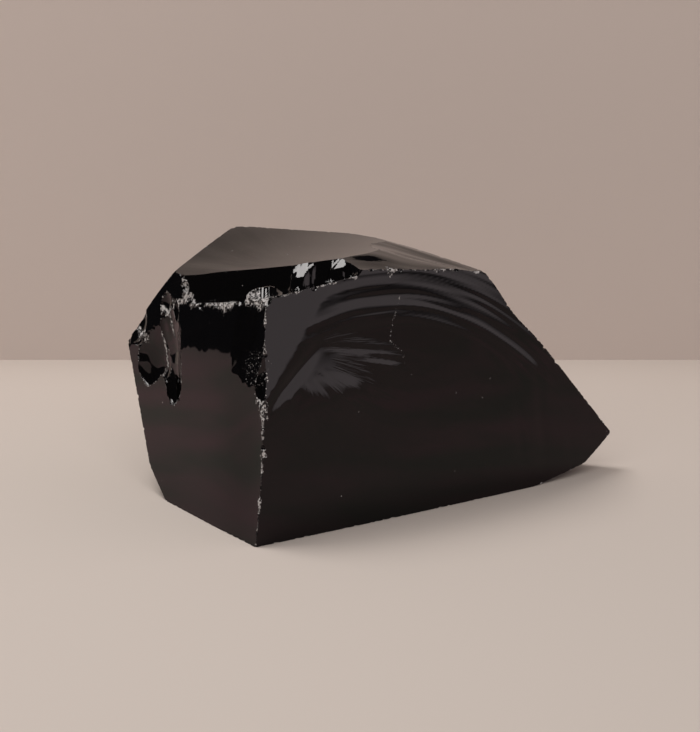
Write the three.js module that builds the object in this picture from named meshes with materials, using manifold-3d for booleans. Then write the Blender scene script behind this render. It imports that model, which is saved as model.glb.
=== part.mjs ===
// A hand-sized chunk of obsidian, as broken from a larger block: one piece of volcanic glass.
//
// The chunk is made the way it formed. It starts as a rough block, and each blow takes away
// everything outside one curved fracture face. Then a hinged flake and a few smaller flakes
// leave their scars. Units are millimetres, +Z is up, and the chunk stands on its flat foot
// at z = 0, with the origin under the middle of its outline.
import * as THREE from "three";
import { mergeVertices } from "three/addons/utils/BufferGeometryUtils.js";
import Module from "manifold-3d";

// The rough block that the chunk is struck from.
const BLOCK = { width: 130, depth: 96, height: 72 };

// Spacing of the facets on a fracture face, and how far a cut reaches past the chunk.
const FACET = 3.1;
const REACH = 150;

// Width of a fold's bend, and how far past its line a fold with a start goes on falling.
const FOLD_ROUNDING = 0.6;
const FOLD_REACH = 9;

// A face's bow is stated as the rise, in millimetres, this far from the face's middle.
const BOW_SPAN = 50;

// The fracture faces. `at` is a point on the face. `azimuth` is the way it looks, in degrees:
// 0 is -Y, 90 is +X and 180 is +Y. `tilt` is how far it looks up, or down where negative.
// `bow` is the rise BOW_SPAN from `at`: [across, up the face, along the diagonal].
// A swell is a gentle bump, or a dip where its rise is negative: `middle` and `reach` are
// [across, up the face]. A fold is a line through `at` along `heading`, in degrees, past which,
// on its left, the face falls away by `tilt`. A fold with a `start` line only holds right of it.
const FACES = [
  {
    name: "front_left",
    at: [-38.4, -14.9, 21.5],
    azimuth: -59,
    tilt: 4.5,
    bow: [0, 0.4, 0],
    swells: [{ middle: [27, -4], reach: [12, 18], rise: -1.1 }],
    folds: [
      { at: [0, 17], heading: 9.7, tilt: 4 },
      { at: [20, 12.5], heading: -10, tilt: 7, start: { at: [12, 13], heading: 90 } },
    ],
  },
  {
    name: "front_right",
    at: [10.6, -12, 16],
    azimuth: 37.2,
    tilt: 1.8,
    bow: [-0.6, -1, 0],
    folds: [{ at: [-39, 18.5], heading: 52, tilt: 9 }],
  },
  {
    name: "crown",
    at: [-22.6, 6.1, 56.9],
    azimuth: -49,
    tilt: 81.5,
    bow: [4.9, -9.3, -7.6],
    swells: [{ middle: [-20, 4], reach: [13, 13], rise: 1.5 }],
  },
  {
    name: "crest",
    at: [9.9, -0.6, 55.6],
    azimuth: 72.5,
    tilt: 78.5,
    bow: [-3, -0.6, -1.4],
    swells: [
      { middle: [-9, 8], reach: [8, 6], rise: 1.3 },
      { middle: [4, 9], reach: [7, 5], rise: 0.15 },
    ],
  },
  { name: "shoulder_left", at: [-46.3, 15, 48], azimuth: -104, tilt: 42, bow: [-2, -8, 0] },
  { name: "back_left", at: [-54.8, 12, 19.5], azimuth: -125, tilt: -26, bow: [2, 0, 0] },
  { name: "left_foot", at: [-49.8, 1.2, 3.2], azimuth: -90, tilt: -34, bow: [0, -6, 0] },
  { name: "back_corner", at: [-45.8, 20.4, 46.8], azimuth: -150, tilt: 21, bow: [-2, -6, 0] },
  { name: "back_upper", at: [-15.8, 20.6, 59.3], azimuth: 174, tilt: 36, bow: [-2, 4, 2] },
  { name: "back_main", at: [-8, 37, 10], azimuth: 176, tilt: 9, bow: [-4, 4, 3] },
  {
    name: "back_right",
    at: [26, 1.1, 52],
    azimuth: 135,
    tilt: 42.5,
    bow: [-4, 0, 0],
    swells: [{ middle: [0, -13], reach: [12, 7], rise: -0.9 }],
  },
  { name: "under_right", at: [43.2, 12, 0.9], azimuth: 96, tilt: -78, bow: [0, -3, 0] },
  { name: "under_tip", at: [54.6, 20.6, 5.8], azimuth: 100, tilt: -51, bow: [0, -12, 0] },
];

// The flake struck off the front corner of the top. It runs back from the corner as a nearly
// flat floor, sloping up to the right and dished in the middle, and ends in a step, because
// the crack turned up and broke out. The step bends back at its left end, and at its right
// end it comes sooner and eases into a ramp. Angles are degrees.
const HINGE_FLAKE = {
  at: [-23.1, -21.4, 51.8],
  azimuth: 0,
  tilt: 96.7,
  slopeRight: 11.1,
  dish: { depth: 0.8, reach: 14 },
  step: { at: 5, pitch: 65, rounding: 0.3 },
  leftBend: { from: 7, slope: 0.45 },
  ramp: { from: 16.5, to: 22, lead: 1.4, pitch: 10 },
};

// Smaller flake scars: shallow bowls pressed into a face. `at` is [across, up the face, out of
// it], `mouth` holds the half sizes of the bowl's rim across and up the face, and `turn` turns
// the rim about. `lean` makes the bowl look up more than its face does, and `swing` makes it
// look further right.
// SCAR_LIFT is how far the round that cuts a bowl stands out of the face, as a share of its
// own half height: a higher share gives a flatter bowl.
const SCAR_LIFT = 0.7;
const SCAR_SEGMENTS = 30;
const SCARS = [
  {
    name: "notch_right",
    face: "front_left",
    at: [-16, 14, -1.1],
    mouth: [6.5, 10],
    turn: 12,
    lean: -5,
    swing: -10,
    depth: 0.7,
  },
  {
    name: "notch_left",
    face: "front_left",
    at: [-28, 12.5, -0.7],
    mouth: [8, 9],
    turn: -25,
    lean: -8,
    swing: 10,
    depth: 0.7,
  },
  { name: "notch_tip", face: "front_left", at: [-35, 17], mouth: [6, 6], depth: 2.5 },
  { name: "notch_top", face: "front_left", at: [-21, 24], mouth: [4, 4], lean: -8, depth: 1.5 },
  { name: "back_scar", face: "back_main", at: [12, 31], mouth: [20, 27], turn: 25, depth: 5 },
  { name: "foot_scar", face: "back_main", at: [-20, -7], mouth: [17, 13], turn: 10, depth: 3 },
];

const wasm = await Module();
wasm.setup();

/** A closed three.js geometry as a manifold-3d solid. */
function solidOf(geometry) {
  const bare = geometry.clone();
  bare.deleteAttribute("normal");
  bare.deleteAttribute("uv");
  const merged = mergeVertices(bare, 1e-4);
  return new wasm.Manifold(
    new wasm.Mesh({
      numProp: 3,
      vertProperties: merged.attributes.position.array,
      triVerts: new Uint32Array(merged.index.array),
    }),
  );
}

/** A manifold-3d solid as a three.js geometry. */
function geometryOf(solid) {
  const mesh = solid.getMesh();
  const positions = new Float32Array(mesh.numVert * 3);
  for (let i = 0; i < mesh.numVert; i++) {
    positions.set(mesh.vertProperties.subarray(i * mesh.numProp, i * mesh.numProp + 3), i * 3);
  }
  const geometry = new THREE.BufferGeometry();
  geometry.setAttribute("position", new THREE.BufferAttribute(positions, 3));
  geometry.setIndex(new THREE.BufferAttribute(mesh.triVerts, 1));
  geometry.computeVertexNormals();
  return geometry;
}

/** The frame of a face: X across it, Y up it, Z out of it, at the point `at`. */
function frameOf({ at, azimuth, tilt }) {
  const turn = THREE.MathUtils.degToRad(azimuth);
  const rise = THREE.MathUtils.degToRad(tilt);
  const out = new THREE.Vector3(
    Math.sin(turn) * Math.cos(rise),
    -Math.cos(turn) * Math.cos(rise),
    Math.sin(rise),
  );
  const across = new THREE.Vector3(Math.cos(turn), Math.sin(turn), 0);
  const up = new THREE.Vector3().crossVectors(out, across);
  return new THREE.Matrix4().makeBasis(across, up, out).setPosition(...at);
}

/** A block that lies outside a face, whose inner side follows `relief(across, up)`. */
function outsideOf(face, relief) {
  const steps = Math.round(REACH / FACET);
  const block = new THREE.BoxGeometry(REACH, REACH, REACH, steps, steps, 1);
  const position = block.attributes.position;
  for (let i = 0; i < position.count; i++) {
    const outer = position.getZ(i) > 0;
    position.setZ(i, outer ? REACH : relief(position.getX(i), position.getY(i)));
  }
  return solidOf(block.applyMatrix4(frameOf(face)));
}

/** How far a point is on the left of a line through `at` along `heading`. */
function leftOf({ at, heading }, x, y) {
  const turn = THREE.MathUtils.degToRad(heading);
  return (y - at[1]) * Math.cos(turn) - (x - at[0]) * Math.sin(turn);
}

/** The relief of a plain fracture face: a gentle bow, with its swells, dips and folds. */
function bowed({ bow: [across, up, diagonal], swells = [], folds = [] }) {
  return (x, y) => {
    let height = (across * x * x + up * y * y + diagonal * x * y) / BOW_SPAN ** 2;
    for (const { middle, reach, rise } of swells) {
      const away = ((x - middle[0]) / reach[0]) ** 2 + ((y - middle[1]) / reach[1]) ** 2;
      height += rise * Math.exp(-away);
    }
    for (const fold of folds) {
      const left = leftOf(fold, x, y);
      const past = (left + Math.hypot(left, FOLD_ROUNDING)) / 2;
      const reach = fold.start ? Math.min(FOLD_REACH, Math.max(0, -leftOf(fold.start, x, y))) : past;
      height -= Math.tan(THREE.MathUtils.degToRad(fold.tilt)) * Math.min(past, reach);
    }
    return height;
  };
}

/** The relief of the hinge flake: a sloping, dished floor that turns up into a step. */
function hinged({ slopeRight, dish, step, leftBend, ramp }) {
  const { degToRad, lerp, smoothstep } = THREE.MathUtils;
  return (x, y) => {
    const slope = Math.tan(degToRad(slopeRight)) * x;
    const hollow = dish.depth * Math.exp(-(x * x + y * y) / dish.reach ** 2);
    const bend = leftBend.slope * Math.max(0, leftBend.from - x);
    const past = y - step.at - bend + ramp.lead * Math.max(0, x - ramp.from);
    const pitch = lerp(step.pitch, ramp.pitch, smoothstep(x, ramp.from, ramp.to));
    const climb = (Math.tan(degToRad(pitch)) * (past + Math.hypot(past, step.rounding))) / 2;
    return slope - hollow + climb;
  };
}

/** The round that cuts a scar: it meets the face in the scar's rim and dips to its depth. */
function scarCutter({ face, at, mouth, turn = 0, lean = 0, swing = 0, depth }) {
  const host = FACES.find((each) => each.name === face);
  const place = new THREE.Vector3(...at, 0).applyMatrix4(frameOf(host));
  const spread = Math.sqrt(1 - SCAR_LIFT ** 2);
  const halfHeight = depth / (1 - SCAR_LIFT);
  const round = new THREE.SphereGeometry(1, SCAR_SEGMENTS, SCAR_SEGMENTS / 2);
  round.scale(mouth[0] / spread, mouth[1] / spread, halfHeight);
  round.rotateZ(THREE.MathUtils.degToRad(turn));
  round.translate(0, 0, SCAR_LIFT * halfHeight);
  const seat = { at: place.toArray(), azimuth: host.azimuth + swing, tilt: host.tilt + lean };
  return solidOf(round.applyMatrix4(frameOf(seat)));
}

/** The whole chunk as one solid. */
function obsidianSolid() {
  const rough = new THREE.BoxGeometry(BLOCK.width, BLOCK.depth, BLOCK.height);
  let chunk = solidOf(rough.translate(0, 0, BLOCK.height / 2));
  for (const face of FACES) {
    chunk = chunk.subtract(outsideOf(face, bowed(face)));
  }
  chunk = chunk.subtract(outsideOf(HINGE_FLAKE, hinged(HINGE_FLAKE)));
  for (const scar of SCARS) {
    chunk = chunk.subtract(scarCutter(scar));
  }
  return chunk;
}

/** Black volcanic glass: nearly no colour of its own, and a wet gloss. */
function obsidianMaterial() {
  return new THREE.MeshStandardMaterial({ color: 0x0d0b0b, roughness: 0.08, metalness: 0 });
}

const obsidian = new THREE.Mesh(geometryOf(obsidianSolid()), obsidianMaterial());
obsidian.name = "obsidian_chunk";

const chunkGroup = new THREE.Group();
chunkGroup.add(obsidian);

export default chunkGroup;
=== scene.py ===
"""A raw chunk of obsidian on a pale floor, built the way it broke.

The chunk is black volcanic glass. Each of its faces is one crack, which ran out from the point
where it was struck and left ripples, rays and long ridges behind it. The faces are cut one
after another from a rough block, small flakes are chipped off its sharp edges by Geometry
Nodes, and the glass is then dressed with a finish that follows the same crack marks.

Sizes are millimetres until the finished mesh is scaled to metres.
"""

import logging
import math
from dataclasses import dataclass, field
from enum import Enum

import bpy
import numpy as np
from mathutils import Matrix, Vector


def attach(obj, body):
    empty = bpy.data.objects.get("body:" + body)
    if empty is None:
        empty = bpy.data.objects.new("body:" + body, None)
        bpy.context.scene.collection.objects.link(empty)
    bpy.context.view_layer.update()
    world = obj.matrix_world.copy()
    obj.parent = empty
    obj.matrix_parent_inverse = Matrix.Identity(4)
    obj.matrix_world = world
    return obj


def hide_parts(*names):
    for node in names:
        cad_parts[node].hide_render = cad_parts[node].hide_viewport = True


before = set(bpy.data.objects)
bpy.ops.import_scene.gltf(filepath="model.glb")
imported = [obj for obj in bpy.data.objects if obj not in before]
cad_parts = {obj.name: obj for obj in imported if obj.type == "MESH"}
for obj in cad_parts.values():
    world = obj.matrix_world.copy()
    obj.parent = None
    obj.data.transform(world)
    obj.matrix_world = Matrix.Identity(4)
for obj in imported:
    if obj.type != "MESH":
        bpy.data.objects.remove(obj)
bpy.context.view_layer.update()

log = logging.getLogger("obsidian")

# What a node's input takes: a plain value, or the output that feeds it.
Feed = bpy.types.NodeSocket | float | tuple

NODE = "obsidian_chunk"
BODY = "root"
MM = 0.001

# How far a cut reaches past the chunk, and how far past a face its fine facets run.
REACH = 150.0
MARGIN = 2.5
# A face's bow is stated as the rise this far from the face's middle.
BOW_SPAN = 50.0
# A facet belongs to a cut when it lies this close to the cut's surface.
TOUCH = 0.05
STUDY_STEP = 0.05
# How far into its facet a corner's shading is taken from, where a cut has a crisp crease.
CREASE_PULL = 0.4
# What a facet belongs to when no cut made it.
FOOT = -1
FLAKE = -2


# ---------------------------------------------------------------------------- small helpers


def linear(hex_colour: str, alpha: float = 1.0) -> tuple[float, float, float, float]:
    """Turns an sRGB hex colour into a linear one.

    Args:
        hex_colour: the colour as "#rrggbb".
        alpha: the opacity to add.

    Returns:
        Red, green, blue and alpha, each from 0 to 1.
    """
    channels = [int(hex_colour[i : i + 2], 16) / 255 for i in (1, 3, 5)]
    made = [c / 12.92 if c <= 0.04045 else ((c + 0.055) / 1.055) ** 2.4 for c in channels]
    return (*made, alpha)


def smoothstep(low: float, high: float, value: np.ndarray) -> np.ndarray:
    """Rises smoothly from 0 at low to 1 at high."""
    t = np.clip((value - low) / (high - low), 0.0, 1.0)
    return t * t * (3 - 2 * t)


def noise(x: np.ndarray, y: np.ndarray, seed: int) -> np.ndarray:
    """Smooth random height over a plane, one bump to each unit square.

    Args:
        x: first coordinate of each point.
        y: second coordinate of each point.
        seed: picks the pattern.

    Returns:
        Heights from -1 to 1.
    """
    size = 256
    table = np.random.default_rng(seed).uniform(-1, 1, (size, size))
    left, low = np.floor(x).astype(int), np.floor(y).astype(int)
    fx, fy = x - left, y - low
    fx, fy = fx * fx * (3 - 2 * fx), fy * fy * (3 - 2 * fy)
    corner = [table[(left + i) % size, (low + j) % size] for i in (0, 1) for j in (0, 1)]
    near = corner[0] * (1 - fy) + corner[1] * fy
    far = corner[2] * (1 - fy) + corner[3] * fy
    return near * (1 - fx) + far * fx


def add_node(
    tree: bpy.types.NodeTree, kind: str, inputs: dict | None = None, **settings: str | int | bool
) -> bpy.types.Node:
    """Adds a node with its settings, values and links.

    Args:
        tree: the tree it goes in.
        kind: the node's type name.
        inputs: for each input, by name or index, a value or the output socket that feeds it.
        settings: the node's own properties.

    Returns:
        The new node.
    """
    node = tree.nodes.new(kind)
    for name, value in settings.items():
        setattr(node, name, value)
    for key, value in (inputs or {}).items():
        socket = node.inputs[key]
        if isinstance(value, bpy.types.NodeSocket):
            tree.links.new(value, socket)
        else:
            socket.default_value = value
    return node


def calc(tree: bpy.types.NodeTree, operation: str, first: Feed, second: Feed) -> bpy.types.NodeSocket:
    """Adds a Math node and gives its output."""
    return add_node(tree, "ShaderNodeMath", {0: first, 1: second}, operation=operation).outputs[0]


def scaled(tree: bpy.types.NodeTree, vector: Feed, scale: Feed) -> bpy.types.NodeSocket:
    """Adds a node that makes a vector longer, and gives its output."""
    inputs = {0: vector, "Scale": scale}
    return add_node(tree, "ShaderNodeVectorMath", inputs, operation="SCALE").outputs["Vector"]


def remap(
    tree: bpy.types.NodeTree,
    value: Feed,
    given: tuple[float, float] = (0.0, 1.0),
    wanted: tuple[float, float] = (0.0, 1.0),
    easing: str = "LINEAR",
) -> bpy.types.NodeSocket:
    """Adds a node that turns the given range into the wanted one, and gives its output."""
    inputs = {"Value": value, "From Min": given[0], "From Max": given[1]}
    inputs |= {"To Min": wanted[0], "To Max": wanted[1]}
    return add_node(tree, "ShaderNodeMapRange", inputs, interpolation_type=easing).outputs["Result"]


def blend(tree: bpy.types.NodeTree, factor: Feed, first: Feed, second: Feed) -> bpy.types.NodeSocket:
    """Adds a node that mixes two colours, and gives its output."""
    inputs = {"Factor": factor, "A": first, "B": second}
    return add_node(tree, "ShaderNodeMix", inputs, data_type="RGBA").outputs["Result"]


def cells(tree: bpy.types.NodeTree, place: bpy.types.NodeSocket, size: float) -> bpy.types.NodeOutputs:
    """Adds cells of one size, in millimetres, and gives the outputs."""
    return add_node(tree, "ShaderNodeTexVoronoi", {"Vector": place, "Scale": 1 / (size * MM)}).outputs


def clouds(
    tree: bpy.types.NodeTree, place: bpy.types.NodeSocket, size: float
) -> bpy.types.NodeSocket:
    """Adds clouds of one size, in millimetres, and gives their thickness."""
    inputs = {"Vector": place, "Scale": 1 / (size * MM), "Detail": 3.0}
    return add_node(tree, "ShaderNodeTexNoise", inputs).outputs["Fac"]


def read(items: bpy.types.bpy_prop_collection, name: str, width: int = 1, kind: type = float) -> np.ndarray:
    """Reads one property of all of a mesh's elements, one row to each where it is a vector."""
    values = np.empty(len(items) * width, dtype=kind)
    items.foreach_get(name, values)
    return values.reshape(-1, width) if width > 1 else values


def link(thing: bpy.types.Object) -> bpy.types.Object:
    """Puts an object in the scene and gives it back."""
    bpy.context.scene.collection.objects.link(thing)
    return thing


# ------------------------------------------------------------------------- how a crack marks


@dataclass(frozen=True)
class Swell:
    """A gentle bump on a face, or a dip where its rise is negative."""

    middle: tuple[float, float]
    reach: tuple[float, float]
    rise: float
    turn: float = 0.0

    def height(self, x: np.ndarray, y: np.ndarray) -> np.ndarray:
        """Height of the bump at points of the face."""
        turn = math.radians(self.turn)
        dx, dy = x - self.middle[0], y - self.middle[1]
        along = (dx * math.cos(turn) + dy * math.sin(turn)) / self.reach[0]
        aside = (dy * math.cos(turn) - dx * math.sin(turn)) / self.reach[1]
        return self.rise * np.exp(-along * along - aside * aside)


@dataclass(frozen=True)
class Fold:
    """A line past which a face bends away from itself.

    The line goes through `at` along `heading`, in degrees, and the face falls by `tilt`
    degrees on its left. `ragged` is how far the line strays. A fold with a `start`, which is
    the point and heading of another line, deepens from that line on, up to its `reach`.
    """

    at: tuple[float, float]
    heading: float
    tilt: float
    ragged: float = 0.0
    start: tuple[tuple[float, float], float] | None = None
    rounding: float = 0.6
    reach: float = 9.0

    @staticmethod
    def left_of(
        at: tuple[float, float], heading: float, x: np.ndarray, y: np.ndarray
    ) -> np.ndarray:
        """How far points are on the left of a line."""
        turn = math.radians(heading)
        return (y - at[1]) * math.cos(turn) - (x - at[0]) * math.sin(turn)

    def height(self, x: np.ndarray, y: np.ndarray) -> np.ndarray:
        """Height of the bend at points of the face, which is 0 or less."""
        left = self.left_of(self.at, self.heading, x, y)
        along = self.left_of(self.at, self.heading - 90, x, y)
        stray = noise(along / 3.1, left / 9, 5) + 0.6 * noise(along / 1.1, left / 5, 6)
        left = left + self.ragged * stray * np.exp(-((left / 3.5) ** 2))
        past = (left + np.hypot(left, self.rounding)) / 2
        if self.start is not None:
            begun = self.ragged * stray - self.left_of(*self.start, x, y)
            past = np.minimum(past, np.clip(begun, 0, self.reach))
        return -math.tan(math.radians(self.tilt)) * past


@dataclass(frozen=True)
class Bands:
    """Long bands that lie side by side along one round path.

    The path is a circle about `centre`. The bands lie between the two `aside` distances out
    of the path and the two `along` distances down it, from the circle's top. `crests` are
    single long ridges: how far out each lies, how wide its inner and outer flanks are, and
    how high it is.
    """

    centre: tuple[float, float]
    radius: float
    pitch: float
    length: float
    rise: float
    aside: tuple[float, float]
    along: tuple[float, float]
    crests: tuple[tuple[float, float, float, float], ...] = ()

    def height(self, x: np.ndarray, y: np.ndarray, seed: int) -> np.ndarray:
        """Height of the bands and the crests."""
        dx, dy = x - self.centre[0], y - self.centre[1]
        out = np.hypot(dx, dy) - self.radius
        along = self.radius * np.arctan2(dx, dy)
        out = out + 0.5 * noise(along / 14, out * 0, seed + 5)
        start, end = self.along
        fade = smoothstep(start, start + 9, along) * (1 - smoothstep(end - 14, end, along))
        low, high = self.aside
        inside = smoothstep(low, low + 2, out) * (1 - smoothstep(high - 4, high, out))
        bands = noise(out / self.pitch, along / self.length, seed)
        bands += 0.5 * noise(2.7 * out / self.pitch, along / self.length * 1.7, seed + 1)
        height = self.rise * bands * inside
        for number, (at, inner, outer, rise) in enumerate(self.crests):
            width = np.where(out > at, outer, inner)
            uneven = 1 + 0.5 * noise(along / 12, out * 0, seed + 20 + number)
            height += rise * uneven * np.exp(-(((out - at) / width) ** 2))
        return height * fade


@dataclass(frozen=True)
class Fan:
    """Fine rays inside a fan. They split as they run out, so their `pitch` holds.

    `angles` and `span` say where the fan is, in degrees and in millimetres from the strike
    point. `rise` is half the height of a ray, and `length` is how long one ray runs.
    """

    angles: tuple[float, float]
    span: tuple[float, float]
    rise: float
    pitch: float
    length: float = 14.0
    feather: float = 8.0

    def height(self, leaving: np.ndarray, away: np.ndarray, seed: int) -> np.ndarray:
        """Height of the rays."""
        total = np.zeros_like(away)
        for step in range(6):
            reach = 4.0 * 2**step
            share = np.clip(1 - np.abs(np.log2(away / reach)), 0, 1)
            across = leaving * reach / self.pitch
            total += share * noise(across, away / self.length + 7.3 * step, seed + step)
        return self.rise * total * self.inside(leaving, away, seed)

    def inside(self, leaving: np.ndarray, away: np.ndarray, seed: int) -> np.ndarray:
        """How far inside the fan points are: 1 well inside, and 0 outside."""
        low, high = (math.radians(angle) for angle in self.angles)
        soft = math.radians(self.feather)
        within = smoothstep(low - soft, low + soft, leaving)
        within = within * (1 - smoothstep(high - soft, high + soft, leaving))
        start, end = self.span
        ragged = away * (1 + 0.35 * noise(leaving * 9.0, away * 0 + 0.5, seed + 9))
        fade = smoothstep(start, start * 1.5, ragged) * (1 - smoothstep(0.5 * end, end, ragged))
        return within * fade


@dataclass(frozen=True)
class CrackMarks:
    """The marks that a crack leaves as it runs out from where it was struck.

    The crack ran mainly towards `facing`, in degrees. Its paths bend over by `bend` per
    millimetre where they left between the `bend_from` angles and above. `wave` and `ripple`
    are half heights in millimetres.
    """

    struck: tuple[float, float]
    seed: int
    facing: float = 0.0
    bend: float = 0.0
    bend_from: tuple[float, float] = (-200.0, -190.0)
    ripple: float = 0.03
    ripple_pitch: float = 8.0
    wave: float = 0.12
    wave_pitch: float = 26.0
    fans: tuple[Fan, ...] = ()
    bands: tuple[Bands, ...] = ()
    swells: tuple[Swell, ...] = ()
    folds: tuple[Fold, ...] = ()

    def path(self, x: np.ndarray, y: np.ndarray) -> tuple[np.ndarray, np.ndarray]:
        """Follows the crack back to its strike point.

        Args:
            x: distance across the face.
            y: distance up the face.

        Returns:
            The way in which each point's path left the strike point, in radians, and how far
            away the point is.
        """
        dx, dy = x - self.struck[0], y - self.struck[1]
        away = np.hypot(dx, dy) + 1e-6
        facing = math.radians(self.facing)
        heading = (np.arctan2(dy, dx) - facing + math.pi) % (2 * math.pi) - math.pi + facing
        leaving = heading
        low, high = (math.radians(angle) for angle in self.bend_from)
        for _ in range(3):
            leaving = heading + self.bend * smoothstep(low, high, leaving) * away / 2
        return leaving, away

    def combed(self, leaving: np.ndarray, away: np.ndarray) -> np.ndarray:
        """How strongly fine rays comb the face at points, from 0 to 1."""
        total = np.zeros_like(away)
        for number, fan in enumerate(self.fans):
            total = np.maximum(total, fan.inside(leaving, away, self.seed + 10 * number + 10))
        return total

    def relief(self, x: np.ndarray, y: np.ndarray) -> np.ndarray:
        """Height of all the marks over the plain face."""
        leaving, away = self.path(x, y)
        height = self.wave * (noise(x / self.wave_pitch, y / self.wave_pitch, self.seed) - 1)
        swing = 2.0 * noise(leaving * 2.0, away / 40.0, self.seed + 1)
        ripples = noise((away + swing) / self.ripple_pitch, leaving * 0.7, self.seed + 2)
        height += self.ripple * ripples * smoothstep(3.0, 14.0, away)
        for number, fan in enumerate(self.fans):
            height += fan.height(leaving, away, self.seed + 10 * number + 10)
        for bands in self.bands:
            height += bands.height(x, y, self.seed + 70)
        for shape in self.swells + self.folds:
            height += shape.height(x, y)
        return height


# ----------------------------------------------------------------------------------- the cuts


@dataclass(frozen=True)
class Cut:
    """Something that takes glass away. `at` is a point on it, and it looks along azimuth
    and tilt, in degrees: 0 is -Y, 90 is +X, and a tilt above 0 looks up."""

    name: str
    at: tuple[float, float, float]
    azimuth: float
    tilt: float
    marks: CrackMarks

    def axes(self) -> np.ndarray:
        """The cut's own axes as rows: across it, up it and out of it."""
        turn, rise = math.radians(self.azimuth), math.radians(self.tilt)
        level = math.cos(rise)
        out = np.array([math.sin(turn) * level, -math.cos(turn) * level, math.sin(rise)])
        across = np.array([math.cos(turn), math.sin(turn), 0.0])
        return np.array([across, np.cross(out, across), out])

    def local(self, points: np.ndarray) -> np.ndarray:
        """Points in the cut's own frame."""
        return (points - np.array(self.at)) @ self.axes().T

    def world(self, points: np.ndarray) -> np.ndarray:
        """Points in the chunk's frame, from the cut's own frame."""
        return points @ self.axes() + np.array(self.at)

    def level(self, points: np.ndarray) -> np.ndarray:
        """How far points stand out of the cut's surface: below 0 is glass that stays."""
        raise NotImplementedError

    def mesh(self, near: np.ndarray) -> bpy.types.Mesh:
        """The closed solid that takes the glass away.

        Args:
            near: points of the chunk that the cut's surface passes through.

        Returns:
            The solid's mesh, in the chunk's frame.
        """
        raise NotImplementedError

    def normals(self, points: np.ndarray) -> np.ndarray:
        """The way the glass looks at points on the cut's surface."""
        base = self.level(points)
        steps = [self.level(points + STUDY_STEP * np.eye(3)[i]) - base for i in range(3)]
        slope = np.stack(steps, axis=1)
        return slope / np.maximum(np.linalg.norm(slope, axis=1, keepdims=True), 1e-12)


@dataclass(frozen=True)
class Face(Cut):
    """One fracture face: a bowed plane with swells, and the marks of its crack."""

    bow: tuple[float, float, float] = (0.0, 0.0, 0.0)
    swells: tuple[Swell, ...] = ()
    facet: float = 1.0

    def form(self, x: np.ndarray, y: np.ndarray) -> np.ndarray:
        """Height of the bow and swells, with no marks."""
        across, up, diagonal = self.bow
        height = (across * x * x + up * y * y + diagonal * x * y) / BOW_SPAN**2
        for swell in self.swells:
            height = height + swell.height(x, y)
        return height

    def level(self, points: np.ndarray) -> np.ndarray:
        """How far points stand out of the face."""
        x, y, z = self.local(points).T
        return z - self.form(x, y) - self.marks.relief(x, y)

    def spacing(self, low: float, high: float) -> np.ndarray:
        """Grid lines that are fine from low to high, with one more line out at the reach."""
        low, high = max(low - MARGIN, 1 - REACH / 2), min(high + MARGIN, REACH / 2 - 1)
        count = max(2, round((high - low) / self.facet) + 1)
        return np.concatenate([[-REACH / 2], np.linspace(low, high, count), [REACH / 2]])

    def mesh(self, near: np.ndarray) -> bpy.types.Mesh:
        """A deep slab that lies outside the face, closed, with its inner side marked."""
        local = self.local(near)
        xs = self.spacing(local[:, 0].min(), local[:, 0].max())
        ys = self.spacing(local[:, 1].min(), local[:, 1].max())
        x, y = (grid.ravel() for grid in np.meshgrid(xs, ys, indexing="ij"))
        z = self.form(x, y) + self.marks.relief(x, y)
        inner = np.stack([x, y, z], axis=1)
        wide, deep = len(xs), len(ys)
        index = np.arange(wide * deep).reshape(wide, deep)
        quads = np.stack([index[:-1, :-1], index[:-1, 1:], index[1:, 1:], index[1:, :-1]], -1)
        rim = np.concatenate([index[:, 0], index[-1, 1:], index[-2::-1, -1], index[0, -2:0:-1]])
        outer = inner[rim].copy()
        outer[:, 2] = REACH
        lid = wide * deep + np.arange(len(rim))
        walls = np.stack([rim, np.roll(rim, -1), np.roll(lid, -1), lid], axis=-1)
        faces = quads.reshape(-1, 4).tolist() + walls.tolist() + [lid.tolist()]
        mesh = bpy.data.meshes.new(self.name)
        mesh.from_pydata(self.world(np.concatenate([inner, outer])).tolist(), [], faces)
        return mesh


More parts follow.
